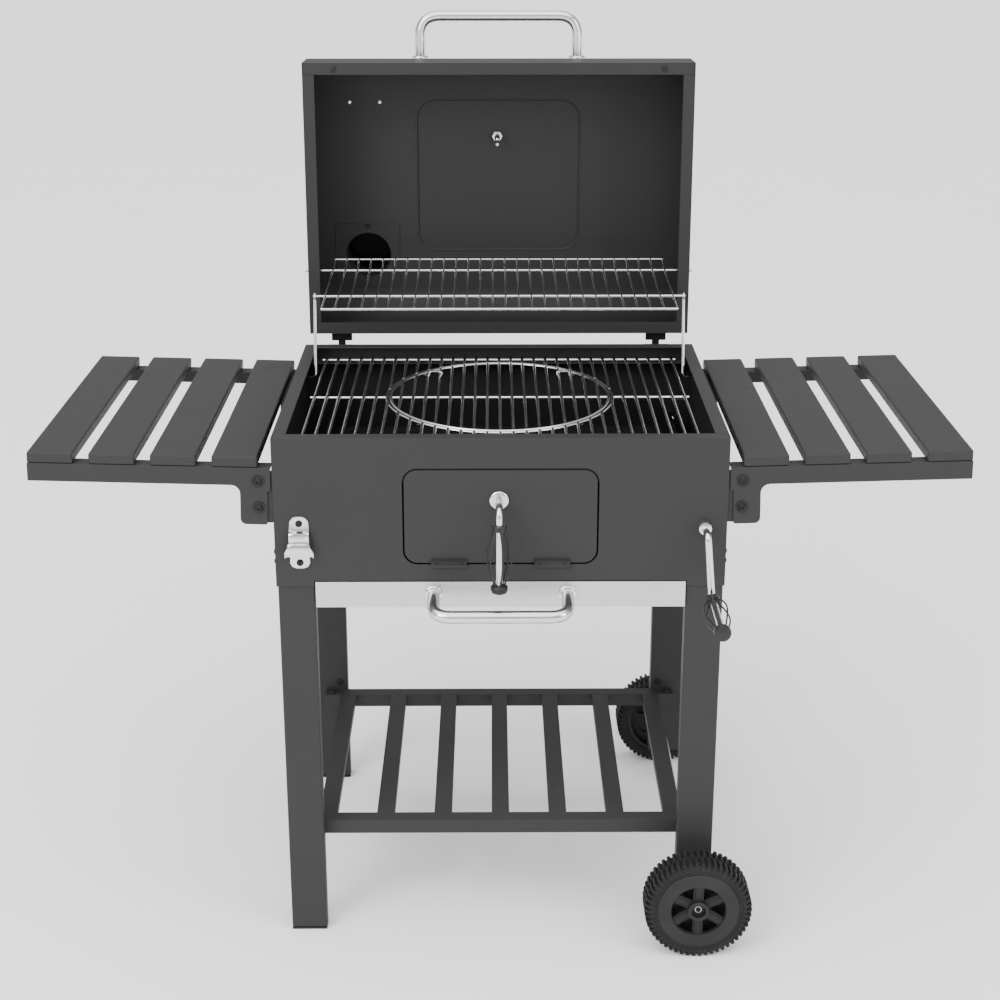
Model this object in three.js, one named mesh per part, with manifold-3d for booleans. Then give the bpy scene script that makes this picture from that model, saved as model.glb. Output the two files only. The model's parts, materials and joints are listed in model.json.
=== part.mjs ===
// Charcoal grill cart with an open lid, a crank-raised charcoal tray, two slatted side tables and two wheels.
// Millimetres, +Z up, the front faces -Y. Everything is placed about the middle of the firebox on the floor,
// and the finished group is then shifted so that its origin is the bottom centre of its bounding box.
import * as THREE from 'three';
import { mergeVertices } from 'three/addons/utils/BufferGeometryUtils.js';
import Module from 'manifold-3d';

const wasm = await Module();
wasm.setup();

// ---- driving dimensions; y and z in LID and CHIMNEY are measured from the hinge pin with the lid closed ----
const GAP = 0.3; // between pieces that touch
const SHEET = 1.5; // panel steel

const BOX = { halfX: 301.5, halfY: 220, top: 750, bottom: 539, skirt: 547, flange: 18, ledge: 28, ledgeZ: 728 };
const LEG = { inner: 249.7, outer: 299.7, face: 217.7, deep: 22, top: 602, wheelEnd: 50, foot: 3 };
const SHELF = { top: 165, high: 21, deep: 20, halfX: 285, slat: 25, slatHigh: 12, pitch: 82.3, slats: 7 };
const WHEEL = { x: 275, y: 264.5, r: 75, width: 41, hub: 58, web: 51, boss: 15, axle: 5, windows: 6, spacer: 9 };
const TABLE = {
  x: 303, z: 709, tilt: 1.5, halfY: 221, slat: 60, thick: 15, first: 47, pitch: 80.6, slats: 4,
  reach: 319, armHigh: 25, armDeep: 22, plateIn: 4, plateOut: 40, plateLow: 80, notch: 33, sheet: 2,
};
const DOOR = { halfX: 130.5, low: 571, high: 707.6, corner: 20, gap: 2.4, pinY: 222.8, pinZ: 570, pin: 2.5 };
const STUD = { x: -2, z: 663, flange: 13, rod: 4.7, out: 40, gripTop: 644, end: 548 };
const DRAWER = { halfX: 248.8, low: 509, high: 546, panX: 246.5, rear: 196, wall: 1.2, runner: 195 };
const PULL = { x: 90, z: 528, out: 52, drop: 9, r: 8.5, bend: 26, flange: 12.5 };
const CRANK = { x: 271, z: 626.6, out: 258, footX: 279, footZ: 541, gripFrom: 268, gripTo: 372, rod: 4.7, roller: 8 };
const TRAY = { halfX: 254, halfY: 185, low: 625, high: 675, wall: 1.5, bar: 8, barLow: 566, barY: 120 };
const VENT = { z: 600, hole: 11, pitch: 44, halfZ: 18, travel: 22 };
const GRATE = {
  z: 738, halfX: 266, halfY: 199, bars: 31, wide: 4.4, high: 5, crossX: 273, crossY: 196, midY: 8,
  ringY: 4.5, ring: 162, insert: 156.4,
};
const HINGE = { y: 235.5, z: 740.5, in: 230, out: 266, r: 5, pin: 2 };
const LID = {
  open: 91.2, halfX: 297, rear: -19.5, depth: 421, rim: 10.5, front: 115, back: 130, bend: 45, flange: 18,
  emboss: 131, embossFrom: -372, embossTo: -128, rise: 3, dialX: -2, dialY: -314,
};
const GRIP = { x: 121.5, up: 83, out: 63, r: 8.2, bend: 31, flange: 13 };
const CHIMNEY = { x: -211.6, y: -120, r: 38, high: 110, foot: 52, cap: 43, ear: 44 };
const RACK = {
  y: 262, z: 858, front: 71, linkY: 132, slope: 0.0615, lipY: 295, lipZ: 868, halfX: 259.2, bars: 28,
  wire: 1.5, rod: 2.5, strutX: 275, footY: 105.5, footZ: 732.5,
};

// ---- finishes ----
const finish = (color, roughness, metalness) => new THREE.MeshStandardMaterial({ color, roughness, metalness });
const POWDER = finish(0x4b4c4d, 0.6, 0.3);
const CHROME = finish(0xd6d6d4, 0.18, 1);
const STEEL = finish(0xbdbdb9, 0.35, 1);
const BLACK = finish(0x1b1b1c, 0.5, 0.1);
const RUBBER = finish(0x202021, 0.75, 0);

// ---- shapes ----
const box = (x0, x1, y0, y1, z0, z1) =>
  new THREE.BoxGeometry(x1 - x0, y1 - y0, z1 - z0).translate((x0 + x1) / 2, (y0 + y1) / 2, (z0 + z1) / 2);
const sorted = (a, b) => (a < b ? [a, b] : [b, a]);
// A box given by distances from the middle, on the side that sx and sy name.
const sideBox = (sx, sy, x0, x1, y0, y1, z0, z1) =>
  box(...sorted(sx * x0, sx * x1), ...sorted(sy * y0, sy * y1), z0, z1);

const rod = (r, from, to, sides = 12) => {
  const start = new THREE.Vector3(...from);
  const along = new THREE.Vector3(...to).sub(start);
  const turn = new THREE.Quaternion().setFromUnitVectors(new THREE.Vector3(0, 1, 0), along.clone().normalize());
  const geometry = new THREE.CylinderGeometry(r, r, along.length(), sides).applyQuaternion(turn);
  return geometry.translate(...start.addScaledVector(along, 0.5).toArray());
};

const extrude = (shape, depth, curveSegments) =>
  new THREE.ExtrudeGeometry(shape, { depth, bevelEnabled: false, curveSegments });
// An outline in X and Z, or in Y and Z, pushed through a thickness.
const acrossY = (shape, y0, y1) => extrude(shape, y1 - y0, 6).rotateX(Math.PI / 2).translate(0, y1, 0);
const acrossX = (shape, x0, x1) =>
  extrude(shape, x1 - x0, 6).rotateZ(Math.PI / 2).rotateY(Math.PI / 2).translate(x0, 0, 0);
const vectors = (points) => points.map(([a, b]) => new THREE.Vector2(a, b));

// Corner points of an outline, each rounded by its own radius (0 keeps the corner sharp).
const rounded = (points, steps = 5) => points.flatMap(([a, b, r = 0], i) => {
  const p = new THREE.Vector2(a, b);
  if (!r) return [p];
  const before = new THREE.Vector2(points[i - 1][0], points[i - 1][1]).sub(p).normalize();
  const after = new THREE.Vector2(points[i + 1][0], points[i + 1][1]).sub(p).normalize();
  const half = Math.acos(THREE.MathUtils.clamp(before.dot(after), -1, 1)) / 2;
  const centre = p.clone().addScaledVector(before.clone().add(after).normalize(), r / Math.sin(half));
  const start = p.clone().addScaledVector(before, r / Math.tan(half)).sub(centre);
  const end = p.clone().addScaledVector(after, r / Math.tan(half)).sub(centre);
  const turn = Math.atan2(start.cross(end), start.dot(end));
  const still = new THREE.Vector2();
  return Array.from({ length: steps + 1 }, (_, k) => start.clone().rotateAround(still, (turn * k) / steps).add(centre));
});

// Steel sheet bent along a path: the path is its outer face, and the sheet lies on the path's left.
const bentSheet = (points) => {
  const outer = rounded(points);
  const inner = outer.map((p, i) => {
    const before = i ? p.clone().sub(outer[i - 1]).normalize() : null;
    const after = i < outer.length - 1 ? outer[i + 1].clone().sub(p).normalize() : null;
    const along = before && after ? before.clone().add(after).normalize() : before || after;
    const mitre = before ? SHEET / along.dot(before) : SHEET;
    return new THREE.Vector2(p.x - along.y * mitre, p.y + along.x * mitre);
  });
  return new THREE.Shape([...outer, ...inner.reverse()]);
};

const roundedRectangle = (a0, a1, b0, b1, r) => {
  const s = new THREE.Shape();
  s.moveTo(a0 + r, b0);
  s.lineTo(a1 - r, b0).absarc(a1 - r, b0 + r, r, -Math.PI / 2, 0);
  s.lineTo(a1, b1 - r).absarc(a1 - r, b1 - r, r, 0, Math.PI / 2);
  s.lineTo(a0 + r, b1).absarc(a0 + r, b1 - r, r, Math.PI / 2, Math.PI);
  s.lineTo(a0, b0 + r).absarc(a0 + r, b0 + r, r, Math.PI, Math.PI * 1.5);
  return s;
};

// A solid of revolution about Z from radius and height pairs, listed up the outside and down the bore.
const turned = (pairs, segments = 28) =>
  new THREE.LatheGeometry(vectors([...pairs, pairs[0]]), segments).rotateX(Math.PI / 2);
const upright = (r, z0, z1, sides = 28) => rod(r, [0, 0, z0], [0, 0, z1], sides);

// A round section carried along a list of points without twisting, closed at both ends.
const sweep = (line, r, sides) => {
  const vertices = [];
  const index = [];
  const normal = new THREE.Vector3(0.31, 0.17, 0.93);
  line.forEach((p, i) => {
    const before = i ? p.clone().sub(line[i - 1]).normalize() : null;
    const after = i < line.length - 1 ? line[i + 1].clone().sub(p).normalize() : null;
    const along = before && after ? before.clone().add(after).normalize() : before || after;
    normal.addScaledVector(along, -normal.dot(along)).normalize();
    const side = along.clone().cross(normal);
    for (let k = 0; k < sides; k++) {
      const a = (k / sides) * Math.PI * 2;
      const q = p.clone().addScaledVector(normal, r * Math.cos(a)).addScaledVector(side, r * Math.sin(a));
      vertices.push(q.x, q.y, q.z);
      if (i) {
        const here = (i - 1) * sides + k;
        const next = (i - 1) * sides + ((k + 1) % sides);
        index.push(here, next, here + sides, next, next + sides, here + sides);
      }
    }
  });
  const last = (line.length - 1) * sides;
  for (let k = 1; k < sides - 1; k++) index.push(0, k + 1, k, last, last + k, last + k + 1);
  const geometry = new THREE.BufferGeometry();
  geometry.setAttribute('position', new THREE.Float32BufferAttribute(vertices, 3));
  return geometry.setIndex(index);
};

// A tube or wire through points, its corners eased over the length bend on both sides.
const bentRod = (points, r, bend, sides = 8, steps = 4) => {
  const p = points.map((q) => new THREE.Vector3(...q));
  const line = [p[0]];
  for (let i = 1; i < p.length - 1; i++) {
    const start = p[i - 1].clone().sub(p[i]).setLength(bend).add(p[i]);
    const end = p[i + 1].clone().sub(p[i]).setLength(bend).add(p[i]);
    line.push(...new THREE.QuadraticBezierCurve3(start, p[i], end).getPoints(steps));
  }
  line.push(p[p.length - 1]);
  return sweep(line, r, sides);
};

// ---- joining and cutting ----
const solid = (geometry) => {
  if (geometry instanceof wasm.Manifold) return geometry;
  const bare = geometry.clone();
  bare.deleteAttribute('normal');
  bare.deleteAttribute('uv');
  const merged = mergeVertices(bare, 1e-4);
  return new wasm.Manifold(new wasm.Mesh({
    numProp: 3,
    vertProperties: new Float32Array(merged.attributes.position.array),
    triVerts: new Uint32Array(merged.index.array),
  }));
};
const geometryOf = (shape) => {
  const mesh = shape.getMesh();
  const geometry = new THREE.BufferGeometry();
  geometry.setAttribute('position', new THREE.Float32BufferAttribute(mesh.vertProperties, 3));
  return geometry.setIndex([...mesh.triVerts]);
};
const join = (...pieces) => geometryOf(pieces.map(solid).reduce((a, b) => a.add(b)));
const cut = (piece, ...tools) => geometryOf(tools.map(solid).reduce((a, b) => a.subtract(b), solid(piece)));

const grill = new THREE.Group();
const lid = new THREE.Group();
lid.position.set(0, HINGE.y, HINGE.z);
lid.rotation.x = THREE.MathUtils.degToRad(-LID.open);
grill.add(lid);

const add = (name, geometry, material, parent = grill) => {
  const mesh = new THREE.Mesh(geometry, material);
  mesh.name = name;
  parent.add(mesh);
};

const SIDES = [['left', -1], ['right', 1]];
const ENDS = [['front', -1], ['rear', 1]];

// ---- legs, bottom shelf and axle ----
for (const [side, sx] of SIDES) {
  for (const [end, sy] of ENDS) {
    const low = sx > 0 ? LEG.wheelEnd : LEG.foot + GAP;
    const leg = sideBox(sx, sy, LEG.inner, LEG.outer, LEG.face - LEG.deep, LEG.face, low, LEG.top);
    const bore = rod(WHEEL.axle + GAP, [WHEEL.x, -300, WHEEL.r], [WHEEL.x, 300, WHEEL.r], 16);
    add(`leg_${end}_${side}`, sx > 0 ? cut(leg, bore) : leg, POWDER);
    if (sx < 0) {
      add(`foot_cap_${end}`, sideBox(sx, sy, LEG.inner, LEG.outer, LEG.face - LEG.deep, LEG.face, 0, LEG.foot), BLACK);
    }
  }
}

const railOut = LEG.face - LEG.deep - GAP;
const railIn = railOut - SHELF.deep;
const shelfSlats = Array.from({ length: SHELF.slats }, (_, i) => (i - (SHELF.slats - 1) / 2) * SHELF.pitch);
add('bottom_shelf', join(
  ...ENDS.map(([, sy]) => sideBox(1, sy, -SHELF.halfX, SHELF.halfX, railIn, railOut, SHELF.top - SHELF.high, SHELF.top)),
  ...shelfSlats.map((x) => box(x - SHELF.slat / 2, x + SHELF.slat / 2, -railIn - 1, railIn + 1,
    SHELF.top - SHELF.slatHigh, SHELF.top - 0.2)),
), POWDER);

add('wheel_axle', join(
  rod(WHEEL.axle, [WHEEL.x, -281, WHEEL.r], [WHEEL.x, 281, WHEEL.r], 16),
  ...ENDS.map(([, sy]) => rod(WHEEL.spacer, [WHEEL.x, sy * (LEG.face + 0.5), WHEEL.r], [WHEEL.x, sy * 243, WHEEL.r], 16)),
), STEEL);

// ---- wheels: a tyre on a hub with windows between its spokes ----
const wheelHalf = WHEEL.width / 2;
const tyre = turned([[WHEEL.hub, -wheelHalf], [70, -wheelHalf], [WHEEL.r, -14], [WHEEL.r, 14], [70, wheelHalf],
  [WHEEL.hub, wheelHalf]], 40);
const spokeWindow = extrude(new THREE.Shape(rounded([[20, 0], [20, -5], [38, -14, 3], [41.5, 0, 6], [38, 14, 3], [20, 5]])), 60, 4)
  .translate(0, 0, -30);
const hub = cut(
  join(upright(WHEEL.web + 1, -3, 3, 36), upright(WHEEL.boss, -wheelHalf - 2, wheelHalf + 1, 20),
    turned([[WHEEL.hub - GAP, -18], [WHEEL.hub - GAP, 18], [WHEEL.web, 18], [WHEEL.web, -18]], 40)),
  ...Array.from({ length: WHEEL.windows }, (_, i) => spokeWindow.clone().rotateZ(((i + 0.5) * Math.PI * 2) / WHEEL.windows)),
  upright(WHEEL.axle + GAP, -40, 40, 16), upright(WHEEL.boss - 5, -40, -wheelHalf + 4, 16),
);
// The boss's open end, drawn at the bottom, faces outwards on both wheels.
for (const [end, sy] of ENDS) {
  const place = (geometry) => geometry.clone().rotateX((sy * Math.PI) / 2).translate(WHEEL.x, sy * WHEEL.y, WHEEL.r);
  add(`tyre_${end}`, place(tyre), RUBBER);
  add(`hub_${end}`, place(hub), BLACK);
}

// ---- firebox ----
const wallX = BOX.halfX - SHEET;
const wallY = BOX.halfY - SHEET;
// The front and rear walls share a top flange and the ledge that the grate rests on.
const wallTop = (sy) => [
  sideBox(1, sy, -wallX + GAP, wallX - GAP, BOX.halfY - BOX.flange, BOX.halfY - 0.5, BOX.top - SHEET, BOX.top),
  sideBox(1, sy, -290, 290, BOX.halfY - BOX.ledge - 2, wallY + 1, BOX.ledgeZ - SHEET, BOX.ledgeZ),
];
const shaftBore = rod(CRANK.rod + 0.6, [CRANK.x, -300, CRANK.z], [CRANK.x, 300, CRANK.z], 16);
add('front_panel', cut(
  join(
    box(-BOX.halfX, BOX.halfX, -BOX.halfY, -wallY, BOX.skirt, BOX.top),
    ...SIDES.map(([, sx]) => sideBox(sx, -1, LEG.inner + 0.5, BOX.halfX, wallY, BOX.halfY, BOX.bottom, BOX.top)),
    ...wallTop(-1),
  ),
  acrossY(roundedRectangle(-DOOR.halfX, DOOR.halfX, DOOR.low, DOOR.high, DOOR.corner), -BOX.halfY - 5, -wallY + 5),
  shaftBore,
), POWDER);
add('rear_panel', cut(
  join(box(-BOX.halfX, BOX.halfX, wallY, BOX.halfY, BOX.bottom, BOX.top), ...wallTop(1)),
  shaftBore,
), POWDER);

const ventHoles = (sx, r) => [-1, 0, 1].map((k) =>
  rod(r, [sx * 290, k * VENT.pitch, VENT.z], [sx * 320, k * VENT.pitch, VENT.z], 20));
for (const [side, sx] of SIDES) {
  const panel = join(
    sideBox(sx, 1, wallX, BOX.halfX, -wallY + GAP, wallY - GAP, BOX.bottom, BOX.top),
    sideBox(sx, 1, BOX.halfX - BOX.flange, BOX.halfX, -BOX.halfY + BOX.flange + GAP, BOX.halfY - BOX.flange - GAP,
      BOX.top - SHEET, BOX.top),
    // brackets that carry the table arms
    ...ENDS.map(([, sy]) => sideBox(sx, sy, wallX, TABLE.x + TABLE.plateOut - 2, 215.7, 217.7, 631, 704)),
    // lipped guides for the vent shutter
    ...[-1, 1].flatMap((s) => [
      sideBox(sx, 1, BOX.halfX - 1, BOX.halfX + 4, -80, 104, ...sorted(VENT.z + s * 18.6, VENT.z + s * 22)),
      sideBox(sx, 1, BOX.halfX + 2.4, BOX.halfX + 4, -80, 104, ...sorted(VENT.z + s * 15, VENT.z + s * 22)),
    ]),
  );
  const strutBore = rod(RACK.rod + 0.7, [sx * 290, RACK.footY, RACK.footZ], [sx * 320, RACK.footY, RACK.footZ], 12);
  add(`${side}_panel`, cut(panel, ...ventHoles(sx, VENT.hole), strutBore), POWDER);
  const shutter = join(
    sideBox(sx, 1, BOX.halfX + GAP, BOX.halfX + GAP + SHEET, -72, 72, VENT.z - VENT.halfZ, VENT.z + VENT.halfZ),
    sideBox(sx, 1, BOX.halfX + GAP, BOX.halfX + 16, 69, 72, VENT.z - 12, VENT.z + 12),
  );
  add(`vent_shutter_${side}`, cut(shutter, ...ventHoles(sx, VENT.hole)), STEEL);
}

const legNotches = SIDES.flatMap(([, sx]) => ENDS.map(([, sy]) =>
  sideBox(sx, sy, LEG.inner - 1, 310, LEG.face - LEG.deep - 1, 230, 540, 560)));
add('firebox_floor', cut(
  sideBox(1, 1, -wallX + GAP, wallX - GAP, -wallY + GAP, wallY - GAP, BOX.skirt + 1, BOX.skirt + 1 + SHEET),
  box(-200, 200, -150, 150, 540, 560),
  ...legNotches,
), POWDER);

// ---- ash drawer on its runners ----
const panLow = DRAWER.low - 0.5;
for (const [side, sx] of SIDES) {
  const web = LEG.inner - GAP;
  add(`drawer_runner_${side}`, join(
    sideBox(sx, 1, web - SHEET, web, -DRAWER.runner, DRAWER.runner, panLow - 2, 540),
    sideBox(sx, 1, web - 15, web, -DRAWER.runner, DRAWER.runner, panLow - 2, panLow - 0.5),
  ), STEEL);
}
const stripY = -BOX.halfY - 1;
add('drawer_pan', cut(
  box(-DRAWER.panX, DRAWER.panX, stripY + 1.5 + GAP, DRAWER.rear, panLow, DRAWER.high - 2),
  box(-DRAWER.panX + DRAWER.wall, DRAWER.panX - DRAWER.wall, stripY + 1.5 + GAP + DRAWER.wall, DRAWER.rear - DRAWER.wall,
    panLow + DRAWER.wall, DRAWER.high),
), STEEL);
add('drawer_front', box(-DRAWER.halfX, DRAWER.halfX, stripY, stripY + 1.5, DRAWER.low, DRAWER.high), STEEL);
const pullY = stripY - GAP;
add('drawer_handle', join(
  bentRod([[-PULL.x, pullY - 2, PULL.z], [-PULL.x, pullY - PULL.out, PULL.z - PULL.drop],
    [PULL.x, pullY - PULL.out, PULL.z - PULL.drop], [PULL.x, pullY - 2, PULL.z]], PULL.r, PULL.bend, 12, 6),
  ...SIDES.map(([, sx]) => rod(PULL.flange, [sx * PULL.x, pullY, PULL.z], [sx * PULL.x, pullY - 3, PULL.z], 20)),
), CHROME);

// ---- front door with its turning handle ----
add('front_door', join(
  acrossY(roundedRectangle(-DOOR.halfX + DOOR.gap, DOOR.halfX - DOOR.gap, DOOR.low + DOOR.gap, DOOR.high - DOOR.gap,
    DOOR.corner - DOOR.gap), -BOX.halfY, -wallY),
  ...SIDES.flatMap(([, sx]) => [
    rod(DOOR.pin, [sx * 45, -DOOR.pinY, DOOR.pinZ], [sx * 93, -DOOR.pinY, DOOR.pinZ], 10),
    sideBox(sx, -1, 45, 93, BOX.halfY + GAP, DOOR.pinY + 1, DOOR.pinZ, DOOR.low + DOOR.gap + 5),
    sideBox(sx, -1, 45, 93, wallY + 0.5, DOOR.pinY + 1, DOOR.low + DOOR.gap + 0.5, DOOR.low + DOOR.gap + 5),
  ]),
), POWDER);
const studY = -BOX.halfY - GAP;
add('door_handle', join(
  rod(STUD.flange, [STUD.x, studY, STUD.z], [STUD.x, studY - 3, STUD.z], 20),
  bentRod([[STUD.x, studY, STUD.z], [STUD.x, studY - STUD.out, STUD.z], [STUD.x, studY - STUD.out, STUD.end + 2]],
    STUD.rod, 12, 10),
), CHROME);

// A closed barrel with the outline of the sprung wire cage that keeps the hand off the hot rod.
const cage = (length) => turned([[5, 0], [12, 0], [12, 9], [18.5, length * 0.52], [9.4, length - 9], [9.4, length], [5, length]], 18);
add('door_grip', cage(STUD.gripTop - STUD.end).translate(STUD.x, studY - STUD.out, STUD.end), CHROME);

// ---- crank with its lift shaft and the charcoal tray ----
add('crank', join(
  bentRod([[CRANK.x, BOX.halfY + 3, CRANK.z], [CRANK.x, -CRANK.out, CRANK.z], [CRANK.footX, -CRANK.out, CRANK.footZ],
    [CRANK.footX, -CRANK.gripTo + 1, CRANK.footZ]], CRANK.rod, 9, 10),
  rod(9.4, [CRANK.x, -BOX.halfY - GAP, CRANK.z], [CRANK.x, -BOX.halfY - 14, CRANK.z], 20),
  ...ENDS.map(([, sy]) => rod(CRANK.roller, [CRANK.x, sy * TRAY.barY - 6, CRANK.z], [CRANK.x, sy * TRAY.barY + 6, CRANK.z], 20)),
), CHROME);
add('crank_grip', cage(CRANK.gripTo - CRANK.gripFrom).rotateX(-Math.PI / 2)
  .translate(CRANK.footX, -CRANK.gripTo, CRANK.footZ), CHROME);

const barX = CRANK.x - CRANK.roller - 1;
add('charcoal_tray', join(
  cut(box(-TRAY.halfX, TRAY.halfX, -TRAY.halfY, TRAY.halfY, TRAY.low, TRAY.high),
    box(-TRAY.halfX + TRAY.wall, TRAY.halfX - TRAY.wall, -TRAY.halfY + TRAY.wall, TRAY.halfY - TRAY.wall,
      TRAY.low + TRAY.wall, TRAY.high + 5)),
  ...ENDS.map(([, sy]) => box(barX - TRAY.bar - 1, barX, sy * TRAY.barY - 5, sy * TRAY.barY + 5, TRAY.barLow, TRAY.high)),
), BLACK);

// ---- side tables, tilted up a little towards their outer ends ----
for (const [side, sx] of SIDES) {
  const table = new THREE.Group();
  table.position.set(sx * TABLE.x, 0, TABLE.z);
  table.rotation.y = -sx * THREE.MathUtils.degToRad(TABLE.tilt);
  grill.add(table);
  const armOutline = rounded([[0, 0], [TABLE.reach, 0], [TABLE.reach, -TABLE.armHigh], [TABLE.plateOut, -TABLE.armHigh, 12],
    [TABLE.plateOut, -TABLE.plateLow, 8], [TABLE.plateIn, -TABLE.plateLow, 3], [TABLE.plateIn, -TABLE.notch], [0, -TABLE.notch]]);
  for (const [end, sy] of ENDS) {
    const face = new THREE.Shape(armOutline.map((p) => new THREE.Vector2(p.x * sx, p.y)));
    add(`table_arm_${end}_${side}`, join(
      acrossY(face, ...sorted(sy * TABLE.halfY, sy * (TABLE.halfY - TABLE.sheet))),
      sideBox(sx, sy, 0, TABLE.reach, TABLE.halfY - TABLE.armDeep, TABLE.halfY, -TABLE.sheet, 0),
      sideBox(sx, sy, TABLE.reach - TABLE.sheet, TABLE.reach, TABLE.halfY - TABLE.armDeep, TABLE.halfY, -TABLE.armHigh, 0),
    ), POWDER, table);
  }
  for (let i = 0; i < TABLE.slats; i++) {
    const x = TABLE.first + i * TABLE.pitch;
    add(`table_slat_${side}_${i + 1}`, sideBox(sx, 1, x - TABLE.slat / 2, x + TABLE.slat / 2, -TABLE.halfY, TABLE.halfY,
      GAP, TABLE.thick), POWDER, table);
  }
}

// ---- bottle opener: a plate with a raised, winged lip ----
const opener = new THREE.Shape(rounded([[-8, 564], [8, 564], [8, 590], [12, 596], [12, 639, 11], [-12, 639, 11], [-12, 596],
  [-8, 590]]).map((p) => new THREE.Vector2(p.x - 268, p.y)));
add('bottle_opener', join(
  acrossY(opener, -BOX.halfY - GAP - 1.5, -BOX.halfY - GAP),
  box(-279, -257, -BOX.halfY - 12, -BOX.halfY - 1, 605, 607),
  acrossY(new THREE.Shape(vectors([[-279, 607], [-257, 607], [-249, 592], [-257, 586], [-279, 586], [-287, 592]])),
    -BOX.halfY - 13, -BOX.halfY - 11.2),
), STEEL);

// ---- cooking grate with its round insert ----
const barLow = GRATE.z - GRATE.high;
const grateBar = (x, y0, y1) => box(x - GRATE.wide / 2, x + GRATE.wide / 2, y0, y1, barLow, GRATE.z);
const crossWire = (y, x0, x1) => box(x0, x1, y - 2.8, y + 2.8, barLow - 4.6, barLow + 1);
const wireRing = (r, half, low) =>
  turned([[r + half, low], [r + half, GRATE.z + 0.3], [r - half, GRATE.z + 0.3], [r - half, low]], 48).translate(0, GRATE.ringY, 0);
const grateBars = [];
const insertBars = [];
for (let i = 0; i < GRATE.bars; i++) {
  const x = -GRATE.halfX + (i * GRATE.halfX * 2) / (GRATE.bars - 1);
  grateBars.push(grateBar(x, -GRATE.halfY, GRATE.halfY));
  if (Math.abs(x) < GRATE.insert - 10) {
    const reach = Math.sqrt(GRATE.insert ** 2 - (Math.abs(x) + GRATE.wide / 2) ** 2);
    insertBars.push(grateBar(x, GRATE.ringY - reach, GRATE.ringY + reach));
  }
}
add('cooking_grate', join(
  wireRing(GRATE.ring, 2, barLow - 1.5),
  cut(join(...grateBars), upright(GRATE.ring, barLow - 5, GRATE.z + 5, 48).translate(0, GRATE.ringY, 0)),
  crossWire(-GRATE.crossY, -GRATE.crossX, GRATE.crossX), crossWire(GRATE.crossY, -GRATE.crossX, GRATE.crossX),
  crossWire(GRATE.midY, -GRATE.crossX, -GRATE.ring), crossWire(GRATE.midY, GRATE.ring, GRATE.crossX),
  // pegs under the ring that carry the insert
  ...[45, 135, 225, 315].map((deg) => {
    const a = THREE.MathUtils.degToRad(deg);
    const at = (r) => [Math.cos(a) * r, GRATE.ringY + Math.sin(a) * r, barLow - 1.9];
    return rod(1.5, at(GRATE.ring + 1), at(GRATE.insert - 6), 8);
  }),
), CHROME);
add('grate_insert', join(
  wireRing(GRATE.insert, 2, barLow + 0.3), ...insertBars,
  crossWire(GRATE.midY, -GRATE.insert + 1, GRATE.insert - 1),
  // lifting lugs
  ...SIDES.map(([, sx]) => sideBox(sx, 1, 85, 105, 99, 107, GRATE.z - 3, GRATE.z + 4)),
), CHROME);

// ---- lid, drawn closed about its hinge pin and swung open with its group ----
const lidFront = LID.rear - LID.depth;
const lidProfile = [
  [lidFront + LID.flange, LID.rim], [lidFront, LID.rim], [lidFront, LID.rim + LID.front, LID.bend],
  [LID.rear, LID.rim + LID.back, LID.bend], [LID.rear, LID.rim], [LID.rear - LID.flange, LID.rim],
];
const topSlope = Math.atan2(LID.back - LID.front, LID.depth);
// Carries a piece drawn upright about its own origin to a point on the lid's sloping top.
const onTop = (geometry, x, y) =>
  geometry.clone().rotateX(topSlope).translate(x, y, LID.rim + LID.front + (y - lidFront) * Math.tan(topSlope));
const embossOutline = (inset) => roundedRectangle(-LID.emboss + inset, LID.emboss - inset,
  LID.embossFrom - LID.dialY + inset, LID.embossTo - LID.dialY - inset, 30 - inset);
const emboss = (inset, z0, z1) => onTop(extrude(embossOutline(inset), z1 - z0, 5).translate(0, 0, z0), 0, LID.dialY);
const shellHalf = LID.halfX - SHEET - GAP;
add('lid_shell', cut(
  join(acrossX(bentSheet([...lidProfile].reverse()), -shellHalf, shellHalf), emboss(0, -0.6, LID.rise)),
  emboss(SHEET, -4, LID.rise - SHEET),
  onTop(upright(CHIMNEY.r - SHEET, -20, 20), CHIMNEY.x, CHIMNEY.y),
  onTop(upright(4.8, -20, 20, 12), LID.dialX, LID.dialY),
), POWDER, lid);

// Where the rack's pivot rod passes through the closed lid.
const rackPivot = new THREE.Vector2(RACK.y - HINGE.y, RACK.z - HINGE.z)
  .rotateAround(new THREE.Vector2(), THREE.MathUtils.degToRad(LID.open));
for (const [side, sx] of SIDES) {
  const bore = rod(RACK.rod + 0.7, [sx * 290, rackPivot.x, rackPivot.y], [sx * 310, rackPivot.x, rackPivot.y], 12);
  add(`lid_cheek_${side}`, cut(join(
    acrossX(new THREE.Shape(rounded(lidProfile.slice(1, 5))), ...sorted(sx * (LID.halfX - SHEET), sx * LID.halfX)),
    sideBox(sx, 1, LID.halfX - LID.flange, LID.halfX - 0.5, lidFront + LID.flange + GAP, LID.rear - LID.flange - GAP,
      LID.rim, LID.rim + SHEET),
  ), bore), POWDER, lid);
}

const gripY = lidFront - GAP;
const gripZ = LID.rim + GRIP.up;
add('lid_handle', join(
  bentRod([[-GRIP.x, gripY, gripZ], [-GRIP.x, gripY - GRIP.out, gripZ], [GRIP.x, gripY - GRIP.out, gripZ],
    [GRIP.x, gripY, gripZ]], GRIP.r, GRIP.bend, 12, 6),
  ...SIDES.map(([, sx]) => rod(GRIP.flange, [sx * GRIP.x, gripY, gripZ], [sx * GRIP.x, gripY - 3, gripZ], 20)),
), CHROME, lid);

add('thermometer', onTop(join(
  upright(27, LID.rise + GAP, LID.rise + 12), upright(4.2, -34, LID.rise + 1, 12),
  upright(9, LID.rise - SHEET - 6, LID.rise - SHEET - GAP, 6),
), LID.dialX, LID.dialY), STEEL, lid);

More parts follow.
